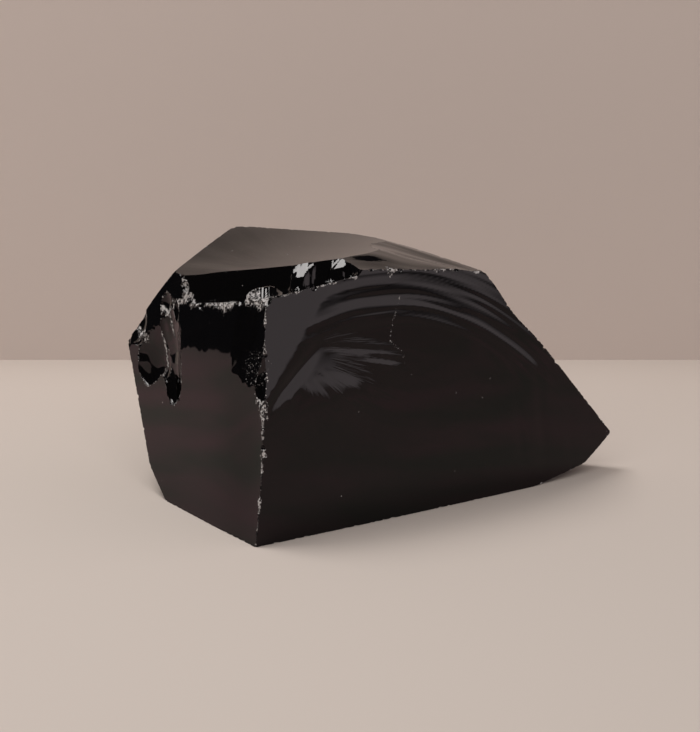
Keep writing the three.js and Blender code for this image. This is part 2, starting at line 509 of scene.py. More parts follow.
@dataclass(frozen=True)
class HingeFlake(Face):
    """The flake struck off the front corner of the top.

    Its floor slopes up to the right and is dished in the middle. It ends in a step, because
    the crack turned up and broke out. The step bends back at its left end, and at its right
    end it comes sooner and eases into a ramp.
    """

    slope_right: float = 11.1
    dish: tuple[float, float] = (0.8, 14.0)
    step_at: float = 5.0
    step_pitch: float = 65.0
    rounding: float = 0.03
    left_bend: tuple[float, float] = (7.0, 0.45)
    ramp: tuple[float, float] = (17.0, 25.0)
    ramp_lead: float = 1.4
    ramp_pitch: float = 10.0
    # Where the step eases into bright flutes: their places, half widths, lean and pitch, how
    # much sooner they start to climb, and how far on they ease.
    flutes: tuple[tuple[float, float], ...] = ((6.6, 2.5), (15.4, 2.0))
    flute_lean: float = 0.45
    flute_pitch: float = 39.0
    flute_lead: float = 1.4
    flute_from: float = 1.1
    # The sheaf of splinters left on the floor: its middle, half width, start, length and slope.
    sheaf: tuple[float, float, float, float, float] = (-0.8, 3.8, -8.2, 2.9, 0.84)
    # How far the foot of the step strays, the flutes' sides, and the tips of the splinters.
    stray: tuple[float, float, float] = (0.35, 0.4, 0.25)

    def form(self, x: np.ndarray, y: np.ndarray) -> np.ndarray:
        """Height of the sloping floor and the step that ends it."""
        slope = math.tan(math.radians(self.slope_right)) * x
        depth, reach = self.dish
        hollow = depth * np.exp(-(x * x + y * y) / reach**2)
        bend_from, bend_slope = self.left_bend
        bend = bend_slope * np.maximum(0, bend_from - x)
        past = y - self.step_at - bend + self.ramp_lead * np.maximum(0, x - self.ramp[0])
        past = past + self.stray[0] * noise(x / 5.0, y * 0, 77)
        turn = smoothstep(*self.ramp, x)
        pitch = np.radians(self.step_pitch + (self.ramp_pitch - self.step_pitch) * turn)
        along = x - self.flute_lean * (y - self.step_at)
        along = along + self.stray[1] * noise(x / 1.1, y / 6, 78)
        ease = sum(np.exp(-(((along - middle) / half) ** 6)) for middle, half in self.flutes)
        past = past + self.flute_lead * ease
        climb = np.tan(pitch) * (past + np.hypot(past, self.rounding)) / 2
        middle, half, start, length, rise = self.sheaf
        behind = y - start + 0.1 * x - self.stray[2] * noise(x / 0.7, y * 0, 79)
        sheaf = np.clip(behind, 0, length) * (1 - smoothstep(length, 4 * length, behind))
        climb += rise * sheaf * np.exp(-(((x - middle) / half) ** 4))
        later = past - self.flute_from
        less = np.maximum(np.tan(pitch) - math.tan(math.radians(self.flute_pitch)), 0)
        climb -= ease * less * (later + np.hypot(later, self.rounding)) / 2
        return slope - hollow + climb


@dataclass(frozen=True)
class Scar(Cut):
    """A small flake scar: a bowl pressed into a face.

    `mouth` holds the half sizes of its rim across and up the face, and `turn` turns the rim
    about. `lift` is how far the round that cuts it stands out of the face, as a share of its
    own half height: a higher share gives a flatter bowl.
    """

    mouth: tuple[float, float] = (5.0, 5.0)
    depth: float = 2.0
    turn: float = 0.0
    lift: float = 0.7
    facet: float = 0.5

    def radii(self) -> np.ndarray:
        """The three radii of the round that cuts the bowl."""
        spread = math.sqrt(1 - self.lift**2)
        return np.array([self.mouth[0], self.mouth[1], 0]) / spread + np.array(
            [0, 0, self.depth / (1 - self.lift)]
        )

    def rounded(self, points: np.ndarray) -> np.ndarray:
        """Points in the frame of the round, where its skin is 1 from the middle."""
        x, y, z = self.local(points).T
        turn = math.radians(self.turn)
        z = z - self.lift * self.radii()[2]
        turned = [x * math.cos(turn) + y * math.sin(turn), y * math.cos(turn) - x * math.sin(turn)]
        return np.stack([*turned, z], axis=1) / self.radii()

    def swelling(self, unit: np.ndarray) -> np.ndarray:
        """How far ripples push the round's skin out, as a share of its size."""
        x, y = unit[:, 0] * self.mouth[0], unit[:, 1] * self.mouth[1]
        return 1 + self.marks.relief(x, y) / self.radii().min()

    def level(self, points: np.ndarray) -> np.ndarray:
        """How far points stand out of the bowl's skin."""
        unit = self.rounded(points)
        size = np.maximum(np.linalg.norm(unit, axis=1), 1e-9)
        return (self.swelling(unit / size[:, None]) - size) * self.radii().min()

    def mesh(self, near: np.ndarray) -> bpy.types.Mesh:
        """The rippled round that cuts the bowl."""
        rings = min(150, round(math.pi * max(self.mouth) / (0.7 * self.facet)))
        lat = np.linspace(0, math.pi, rings + 1)[1:-1]
        lon = np.linspace(0, 2 * math.pi, 2 * rings, endpoint=False)
        la, lo = np.meshgrid(lat, lon, indexing="ij")
        unit = np.stack([np.sin(la) * np.cos(lo), np.sin(la) * np.sin(lo), -np.cos(la)], -1)
        unit = np.concatenate([[[0, 0, -1]], unit.reshape(-1, 3), [[0, 0, 1]]])
        skin = unit * self.swelling(unit)[:, None] * self.radii()
        turn = Matrix.Rotation(math.radians(self.turn), 3, "Z")
        skin = skin @ np.array(turn).T + np.array([0, 0, self.lift * self.radii()[2]])
        index = 1 + np.arange((rings - 1) * 2 * rings).reshape(rings - 1, 2 * rings)
        after = np.roll(index, -1, axis=1)
        quads = np.stack([index[:-1], after[:-1], after[1:], index[1:]], -1).reshape(-1, 4)
        last = index.max() + 1
        low = [[0, int(b), int(a)] for a, b in zip(index[0], after[0])]
        high = [[last, int(a), int(b)] for a, b in zip(index[-1], after[-1])]
        mesh = bpy.data.meshes.new(self.name)
        mesh.from_pydata(self.world(skin).tolist(), [], low + high + quads.tolist())
        return mesh


# ------------------------------------------------------------------------- the arrises' wear


@dataclass(frozen=True)
class Arris:
    """How worn the sharp edge between two cuts is.

    `chips` is the size of the flakes off it, and `crush_and_glints` the width of the whitish band
    where the glass is bruised, on the first cut and on the second, all in millimetres.
    """

    between: tuple[str, str]
    chips: float
    crush_and_glints: tuple[float, float]


@dataclass(frozen=True)
class Bruise:
    """A blow on an edge: within its reach, the crushed band is as wide as its width."""

    at: tuple[float, float, float]
    reach: float
    width: float


@dataclass(frozen=True)
class GlintPatch:
    """A patch of painted glints: tiny bright specks painted on the glass, more of them for a higher share.
    """

    at: tuple[float, float, float]
    reach: float
    share: float


@dataclass(frozen=True)
class ScratchAndGlint:
    """A fine whitish line on a cut, through some points of it: some are scratches, and some are painted
    glints.
    """

    cut: str
    through: tuple[tuple[float, float], ...]
    width: float = 0.55
    depth: float = 0.42

    def whiteness(self, x: np.ndarray, y: np.ndarray) -> np.ndarray:
        """How white points of the cut are, from 0 to 1."""
        nearest = np.full(len(x), np.inf)
        for (x0, y0), (x1, y1) in zip(self.through, self.through[1:]):
            long = math.hypot(x1 - x0, y1 - y0)
            along = np.clip(((x - x0) * (x1 - x0) + (y - y0) * (y1 - y0)) / long, 0, long)
            away = np.hypot(x - x0 - along * (x1 - x0) / long, y - y0 - along * (y1 - y0) / long)
            nearest = np.minimum(nearest, away)
        return self.depth * np.clip(1.3 - nearest / self.width, 0, 1)


@dataclass(frozen=True)
class WornLine:
    """Places along the worn arrises.

    `ways` holds the arris's way at each place, `cuts` the numbers of its two cuts, and
    `widths` how wide its bruised band is on each of the two.
    """

    places: np.ndarray
    ways: np.ndarray
    cuts: np.ndarray
    widths: np.ndarray

    def beside(self, cut: int) -> tuple[np.ndarray, np.ndarray, np.ndarray]:
        """The places, ways and widths that crush one cut. Every place crushes a flake."""
        at, which = np.nonzero(self.cuts == cut)
        width = self.widths[at, which]
        if cut == FLAKE:
            at, width = np.arange(len(self.places)), self.widths.max(axis=1)
        keep = width > 0.01
        return self.places[at][keep], self.ways[at][keep], width[keep]


class Detail(Enum):
    """The sizes of flake that come off an edge: spacing, size, bite and roundness."""

    FLAKES = (2.6, 1.0, 0.30, 2)
    NIBBLES = (0.9, 0.42, 0.40, 2)


FACES = (
    Face(
        "front_left",
        (-38.4, -14.9, 21.5),
        -59,
        4.5,
        CrackMarks(
            (22, 34),
            101,
            facing=-120,
            ripple=0.02,
            wave=0.06,
            folds=(
                Fold((0, 17), 9.7, 4, ragged=0.8),
                Fold((20, 12.5), -10, 7, ragged=0.9, start=((12, 13), 90)),
            ),
        ),
        (0, 0.4, 0),
        (Swell((27, -4), (12, 18), -1.1),),
        facet=0.65,
    ),
    Face(
        "front_right",
        (10.6, -12, 16),
        37.2,
        1.8,
        CrackMarks(
            (-33.7, 25.0),
            202,
            bend=1 / 54,
            bend_from=(-20, 20),
            ripple=0.02,
            wave=0.05,
            fans=(
                Fan((-54, 2), (8, 34), 0.13, 2.4, length=11),
                Fan((-4, 22), (7, 28), 0.07, 1.9, length=14),
                Fan((-88, -54), (9, 34), 0.05, 2.0),
                Fan((-120, -82), (8, 21), 0.12, 1.5, length=6),
            ),
            bands=(
                Bands(
                    (-14.3, -39.2),
                    71.2,
                    pitch=2.3,
                    length=30,
                    rise=0.05,
                    aside=(-5, 24),
                    along=(-24, 66),
                    crests=(
                        (0.0, 3.0, 1.2, 0.11),
                        (-2.8, 1.5, 0.8, 0.04),
                        (4.6, 1.6, 1.1, 0.05),
                    ),
                ),
            ),
            swells=(
                Swell((-25, 13), (11, 6.5), 0.52),
                Swell((-22, 33), (8, 2.5), 0.10),
                Swell((16, 27), (12, 8), 0.12),
                Swell((-34, 19.3), (7, 1.3), -0.34, 42),
                Swell((30, -3), (1.4, 7), -0.06, 8),
                Swell((37, -2), (1.6, 9), -0.09, 5),
                Swell((46, -6), (1.3, 6), -0.06, 5),
            ),
            folds=(Fold((-39, 18.5), 52, 9, ragged=0.22),),
        ),
        (-0.6, -1, 0),
        facet=0.45,
    ),
    Face(
        "crown",
        (-22.6, 6.1, 56.9),
        -49,
        81.5,
        CrackMarks(
            (26, -12), 303, facing=180, wave=0.05, fans=(Fan((140, 200), (14, 90), 0.14, 4.2, 40),)
        ),
        (4.9, -9.3, -7.6),
        (Swell((-20, 4), (13, 13), 1.5),),
        facet=0.7,
    ),
    Face(
        "crest",
        (9.9, -0.6, 55.6),
        72.5,
        78.5,
        CrackMarks(
            (4, -20), 404, facing=90, wave=0.03, fans=(Fan((30, 150), (3, 60), 0.34, 3.2, 40),)
        ),
        (-3, -0.6, -1.4),
        (Swell((-9, 8), (8, 6), 1.3), Swell((4, 9), (7, 5), 0.15)),
        facet=0.6,
    ),
    Face(
        "shoulder_left",
        (-46.3, 15, 48),
        -104,
        42,
        CrackMarks((0, 20), 505),
        (-2, -8, 0),
        facet=0.6,
    ),
    Face("back_left", (-54.8, 12, 19.5), -125, -26, CrackMarks((10, 30), 606), (2, 0, 0)),
    Face("left_foot", (-49.8, 1.2, 3.2), -90, -34, CrackMarks((0, 8), 707), (0, -6, 0)),
    Face("back_corner", (-45.8, 20.4, 46.8), -150, 21, CrackMarks((5, 20), 808), (-2, -6, 0)),
    Face("back_upper", (-15.8, 20.6, 59.3), 174, 36, CrackMarks((0, 8), 909), (-2, 4, 2)),
    Face("back_main", (-8, 37, 10), 176, 9, CrackMarks((-30, 30), 1010), (-4, 4, 3)),
    Face(
        "back_right",
        (26, 1.1, 52),
        135,
        42.5,
        CrackMarks((10, 8), 1111),
        (-4, 0, 0),
        (Swell((0, -13), (12, 7), -0.9),),
    ),
    Face("under_right", (43.2, 12, 0.9), 96, -78, CrackMarks((0, 30), 1212), (0, -3, 0)),
    Face("under_tip", (54.6, 20.6, 5.8), 100, -51, CrackMarks((0, 12), 1313), (0, -12, 0)),
    HingeFlake(
        "hinge_flake",
        (-23.1, -21.4, 51.8),
        0,
        96.7,
        CrackMarks(
            (0.5, -14.5),
            1414,
            facing=90,
            ripple=0.02,
            wave=0.04,
            fans=(Fan((46, 74), (16, 44), 0.12, 1.3, 30, 6),),
        ),
        facet=0.4,
    ),
)


def scar_on(
    face: str, name: str, middle: tuple[float, ...], seed: int, **sizes: float | tuple[float, float]
) -> Scar:
    """Places a scar on a face.

    Args:
        face: the face's name.
        name: the scar's name.
        middle: where its mouth is, across and up the face, and out of it if not on it.
        seed: picks its ripples.
        sizes: the scar's mouth, depth and turn, how much more than its face it looks up
            (`lean`) and to the right (`swing`).

    Returns:
        The scar, in the chunk's frame.
    """
    host = next(each for each in FACES if each.name == face)
    at = host.world(np.array([(*middle, 0.0)[:3]]))[0]
    size = min(sizes["mouth"])
    tilt = host.tilt + sizes.pop("lean", 0)
    azimuth = host.azimuth + sizes.pop("swing", 0)
    marks = CrackMarks(
        (0.0, 3.0),
        seed,
        ripple=0.012 * size,
        ripple_pitch=0.3 * size,
        wave=0.05 * size,
        wave_pitch=0.6 * size,
    )
    return Scar(name, tuple(at), azimuth, tilt, marks, **sizes)


SCARS = (
    scar_on(
        "front_left",
        "notch_right",
        (-16, 14, -1.1),
        21,
        mouth=(6.5, 10),
        turn=12,
        lean=-5,
        swing=-10,
        depth=0.7,
    ),
    scar_on(
        "front_left",
        "notch_left",
        (-28, 12.5, -0.7),
        22,
        mouth=(8, 9),
        turn=-25,
        lean=-8,
        swing=10,
        depth=0.7,
    ),
    scar_on("front_left", "notch_tip", (-35, 17), 23, mouth=(6, 6), depth=2.5),
    scar_on("front_left", "notch_top", (-21, 24), 24, mouth=(4, 4), lean=-8, depth=1.5),
    scar_on("front_left", "notch_gash", (-15.5, 20), 29, mouth=(1.8, 4.4), turn=8, lean=14, depth=1.0),
    scar_on("front_left", "notch_cup", (-21, 21.5), 30, mouth=(2.4, 2.2), depth=0.8),
    scar_on("front_left", "notch_chip", (-33, 12.5), 31, mouth=(2.2, 1.6), turn=30, lean=10, depth=0.8),
    scar_on("front_left", "edge_gouge", (28.5, 14, -1.2), 32, mouth=(5, 8.5), lean=5, depth=1.0),
    scar_on("back_main", "back_scar", (12, 31), 25, mouth=(20, 27), turn=25, depth=5, facet=1.2),
    scar_on("back_main", "foot_scar", (-20, -7), 26, mouth=(17, 13), turn=10, depth=3, facet=1.0),
)

ARRISES = (
    Arris(("front_left", "hinge_flake"), 1.6, (1.15, 0.35)),
    Arris(("front_right", "hinge_flake"), 0.8, (0.5, 0.3)),
    Arris(("front_left", "front_right"), 0.8, (0.55, 0.4)),
    Arris(("front_right", "crest"), 0.7, (0.4, 0.2)),
    Arris(("hinge_flake", "crown"), 0.2, (0.0, 0.0)),
    Arris(("hinge_flake", "crest"), 0.2, (0.0, 0.0)),
    Arris(("crown", "crest"), 0.2, (0.0, 0.0)),
)

BRUISES = (
    Bruise((3.9, -15.6, 55.0), 5.0, 0.8),
    Bruise((-33.0, -22.0, 49.0), 5.0, 1.8),
    Bruise((-24.0, -36.5, 30.0), 4.0, 0.9),
    Bruise((-24.0, -37.0, 21.0), 3.0, 0.8),
)

# Painted glints: in these patches bright specks are painted on the glass.
GLINT_PATCHES = (
    GlintPatch((-27.5, -34.5, 37.5), 8.0, 0.33),
    GlintPatch((-29.0, -33.0, 45.0), 6.0, 0.12),
    GlintPatch((-54.0, 10.5, 35.0), 3.0, 0.55),
    GlintPatch((-50.0, 5.0, 43.5), 2.5, 0.45),
)

# Fine whitish lines: scratches, and painted glints where said below.
SCRATCHES_AND_GLINTS = (
    ScratchAndGlint("front_right", ((-5, 33.5), (-7.5, 27.5), (-8, 24), (-4.5, 21), (-4, 18.5))),
    ScratchAndGlint("front_right", ((9, 12), (12, 8)), depth=0.34),
    ScratchAndGlint("front_right", ((18, 9), (21, 12)), depth=0.34),
    # Painted glint: a bright white streak in the notch.
    ScratchAndGlint("front_left", ((-30, 13), (-25, 14.5)), 0.9, 0.7),
    ScratchAndGlint("front_left", ((-11, 25.5), (-15, 24.5), (-20, 23.5)), 1.0, 0.75),
    # Painted glint: bright white outlines around a small black scar at the notch's tip.
    ScratchAndGlint("front_left", ((-38, 15), (-33, 12), (-31, 14)), 1.1, 0.8),
    # Painted glints: the bright rim of the notch's tip, painted white.
    ScratchAndGlint("notch_tip", ((-4, -1), (0, -3.5), (3.5, -2)), 1.0, 0.75),
    ScratchAndGlint("notch_tip", ((-1, 4.5), (1.5, 1), (3.5, -2)), 0.8, 0.7),
    ScratchAndGlint("notch_top", ((-3, -2), (0, -3), (3, -1.5)), 0.9, 0.75),
    ScratchAndGlint("notch_right", ((-4, 8), (-2, 2)), 0.8, 0.6),
    ScratchAndGlint("notch_right", ((5.5, 7), (6, -2), (3.5, -7)), 0.6, 0.6),
    ScratchAndGlint("notch_left", ((5, 3), (6.5, -4), (4, -8)), 0.8, 0.6),
)


# ------------------------------------------------------------------------------- the finishes


@dataclass(frozen=True)
class ObsidianFinish:
    """Obsidian as it breaks: black glass, wet-looking, bruised white along its edges.

    Volcanic glass is opaque at this thickness and nearly colourless on top, so all that the
    eye sees is its mirror, which is weak face on and strong at a glancing angle.
    """

    glass: str = "#060505"
    bruise_and_glint: str = "#cbc8c6"
    crumb: str = "#1c1a19"
    roughness: float = 0.05
    ior: float = 1.49
    crumb_size: float = 0.45
    grain_depth: float = 0.3
    bruise_roughness: float = 0.45
    dust_pitch: float = 3.2
    # The radius of the largest speck, as a share of the pitch.
    dust_size: float = 0.06
    ray_pitch: float = 0.9
    ray_length: float = 8.0
    ray_depth: float = 0.022

    def build(self) -> bpy.types.Material:
        """Builds the material."""
        material = bpy.data.materials.new("obsidian_glass")
        material.use_nodes = True
        tree = material.node_tree
        tree.nodes.clear()
        place = add_node(tree, "ShaderNodeTexCoord").outputs["Object"]
        # This attribute holds the bruised bands and also the painted glints, which both take the whitish
        # bruised finish below.
        crush_and_glints = add_node(tree, "ShaderNodeAttribute", attribute_name="crush_and_glints").outputs["Fac"]
        crumbs = cells(tree, place, self.crumb_size)
        broken = calc(tree, "ADD", crush_and_glints, clouds(tree, place, self.crumb_size))
        bruise_and_glint = remap(tree, broken, (0.92, 1.12))
        # Some crumbs of bruised glass face the light and others stay black.
        draw = add_node(tree, "ShaderNodeSeparateColor", {"Color": crumbs["Color"]}).outputs["Red"]
        lit = remap(tree, draw, (0.35, 0.75))
        shade = blend(tree, lit, linear(self.crumb), linear(self.bruise_and_glint))
        marked = calc(tree, "MAXIMUM", bruise_and_glint, self.dust(tree, place))
        grain = add_node(
            tree,
            "ShaderNodeBump",
            {
                "Strength": bruise_and_glint,
                "Distance": self.grain_depth * MM,
                "Height": crumbs["Distance"],
                "Normal": self.fine_rays(tree),
            },
        )
        shader = add_node(
            tree,
            "ShaderNodeBsdfPrincipled",
            {
                "Base Color": blend(tree, marked, linear(self.glass), shade),
                "Roughness": remap(tree, bruise_and_glint, wanted=(self.roughness, self.bruise_roughness)),
                "Normal": grain.outputs["Normal"],
                "IOR": self.ior,
            },
        )
        add_node(tree, "ShaderNodeOutputMaterial", {"Surface": shader.outputs[0]})
        return material

    def fine_rays(self, tree: bpy.types.NodeTree) -> bpy.types.NodeSocket:
        """Combs the finest rays into the glass along the way its crack ran, as a normal."""
        path = add_node(tree, "ShaderNodeUVMap", uv_map="crack").outputs["UV"]
        combed = add_node(tree, "ShaderNodeAttribute", attribute_name="rays").outputs["Fac"]
        stretched = add_node(
            tree,
            "ShaderNodeVectorMath",
            {0: path, 1: (1 / (self.ray_pitch * MM), 1 / (self.ray_length * MM), 0)},
            operation="MULTIPLY",
        )
        lines = add_node(
            tree,
            "ShaderNodeTexNoise",
            {"Vector": stretched.outputs[0], "Scale": 1.0, "Detail": 2.0},
            noise_dimensions="2D",
        )
        return add_node(
            tree,
            "ShaderNodeBump",
            {"Strength": combed, "Distance": self.ray_depth * MM, "Height": lines.outputs["Fac"]},
        ).outputs["Normal"]

    def dust(self, tree: bpy.types.NodeTree, place: bpy.types.NodeSocket) -> bpy.types.NodeSocket:
        """Adds sparse specks of glass dust: 1 on a speck and 0 elsewhere."""
        specks = cells(tree, place, self.dust_pitch)
        draw = add_node(tree, "ShaderNodeSeparateColor", {"Color": specks["Color"]}).outputs["Red"]
        size = remap(tree, draw, (0.5, 1.0), (0.0, self.dust_size))
        return calc(tree, "LESS_THAN", specks["Distance"], size)


@dataclass(frozen=True)
class PlasterFinish:
    """Smooth pale plaster, matt, for the floor and the backdrop.

    `mottle`, if given, is a second colour that clouds it, in patches about `patch` wide.
    With `see_through_back` it shows only from its front.
    """

    name: str
    colour: str
    see_through_back: bool = False
    mottle: str | None = None
    patch: float = 45.0

    def build(self) -> bpy.types.Material:
        """Builds the material."""
        material = bpy.data.materials.new(self.name)
        material.use_nodes = True
        tree = material.node_tree
        tree.nodes.clear()
        matt = add_node(tree, "ShaderNodeBsdfDiffuse", {"Color": linear(self.colour)})
        if self.mottle:
            place = add_node(tree, "ShaderNodeTexCoord").outputs["Object"]
            cover = remap(tree, clouds(tree, place, self.patch), (0.35, 0.65))
            tint = blend(tree, cover, linear(self.colour), linear(self.mottle))
            tree.links.new(tint, matt.inputs["Color"])
        surface = matt.outputs[0]
        if self.see_through_back:
            behind = add_node(tree, "ShaderNodeNewGeometry").outputs["Backfacing"]
            clear = add_node(tree, "ShaderNodeBsdfTransparent").outputs[0]
            mixed = add_node(tree, "ShaderNodeMixShader", {0: behind, 1: surface, 2: clear})
            surface = mixed.outputs[0]
        add_node(tree, "ShaderNodeOutputMaterial", {"Surface": surface})
        return material


# -------------------------------------------------------------------------------- the chunk


@dataclass
class EdgeFlaking:
    """Small flakes chipped off every marked arris, made by Geometry Nodes."""

    detail: Detail
    seed: int

    def tree(self) -> bpy.types.NodeTree:
        """Builds the node tree.

        Returns:
            A tree that takes the chunk, with its arris edges marked, and gives it chipped.
        """
        spacing, size, bite, roundness = self.detail.value
        tree = bpy.data.node_groups.new(f"edge_{self.detail.name.lower()}", "GeometryNodeTree")
        face = tree.interface
        face.new_socket("Geometry", in_out="INPUT", socket_type="NodeSocketGeometry")
        for name, value in (("Spacing", spacing), ("Flake size", size), ("Bite", bite)):
            socket = face.new_socket(name, in_out="INPUT", socket_type="NodeSocketFloat")
            socket.default_value = value
        socket = face.new_socket("Seed", in_out="INPUT", socket_type="NodeSocketInt")
        socket.default_value = self.seed
        socket = face.new_socket("Material", in_out="INPUT", socket_type="NodeSocketMaterial")
        face.new_socket("Geometry", in_out="OUTPUT", socket_type="NodeSocketGeometry")

        given = add_node(tree, "NodeGroupInput").outputs
        marked = self.stored(tree, "arris", "BOOLEAN")
        outward = self.stored(tree, "outward", "FLOAT_VECTOR")
        size = calc(tree, "MULTIPLY", self.stored(tree, "chips", "FLOAT"), given["Flake size"])
        line = add_node(
            tree, "GeometryNodeMeshToCurve", {"Mesh": given["Geometry"], "Selection": marked}
        )
        beads = add_node(
            tree,
            "GeometryNodeResampleCurve",
            {"Curve": line.outputs["Curve"], "Length": given["Spacing"]},
            mode="LENGTH",
        )
        bulk = self.draw(tree, 0.5, 1.5, {"Seed": given["Seed"]})
        index = add_node(tree, "GeometryNodeInputIndex").outputs[0]
        drift = self.draw(tree, -0.5, 0.5, {"ID": index})
        push = scaled(tree, outward, calc(tree, "SUBTRACT", 1.0, given["Bite"]))
        off = add_node(tree, "ShaderNodeVectorMath", {0: push, 1: drift}, operation="ADD")
        moved = add_node(
            tree,
            "GeometryNodeSetPosition",
            {"Geometry": beads.outputs["Curve"], "Offset": scaled(tree, off.outputs["Vector"], size)},
        )
        pebble = add_node(
            tree, "GeometryNodeMeshIcoSphere", {"Radius": 1.0, "Subdivisions": roundness}
        )
        flakes = add_node(
            tree,
            "GeometryNodeInstanceOnPoints",
            {
                "Points": moved.outputs["Geometry"],
                "Instance": pebble.outputs["Mesh"],
                "Rotation": self.draw(tree, 0.0, 6.283, {}),
                "Scale": scaled(tree, bulk, size),
            },
        )
        struck = add_node(
            tree,
            "GeometryNodeMeshBoolean",
            {"Mesh 1": given["Geometry"], "Mesh 2": flakes.outputs["Instances"]},
            operation="DIFFERENCE",
            solver="MANIFOLD",
        )
        real = add_node(tree, "GeometryNodeRealizeInstances", {"Geometry": struck.outputs["Mesh"]})
        dressed = add_node(
            tree,
            "GeometryNodeSetMaterial",
            {"Geometry": real.outputs["Geometry"], "Material": given["Material"]},
        )
        add_node(tree, "NodeGroupOutput", {"Geometry": dressed.outputs["Geometry"]})
        return tree

    @staticmethod
    def stored(tree: bpy.types.NodeTree, name: str, kind: str) -> bpy.types.NodeSocket:
        """Adds a node that reads one of the mesh's attributes, and gives its output."""
        inputs = {"Name": name}
        node = add_node(tree, "GeometryNodeInputNamedAttribute", inputs, data_type=kind)
        return node.outputs["Attribute"]

    @staticmethod
    def draw(tree: bpy.types.NodeTree, low: float, high: float, inputs: dict) -> bpy.types.NodeSocket:
        """Adds a node that draws a random vector, and gives its output."""
        inputs = {"Min": (low, low, low), "Max": (high, high, high)} | inputs
        node = add_node(tree, "FunctionNodeRandomValue", inputs, data_type="FLOAT_VECTOR")
        return node.outputs["Value"]


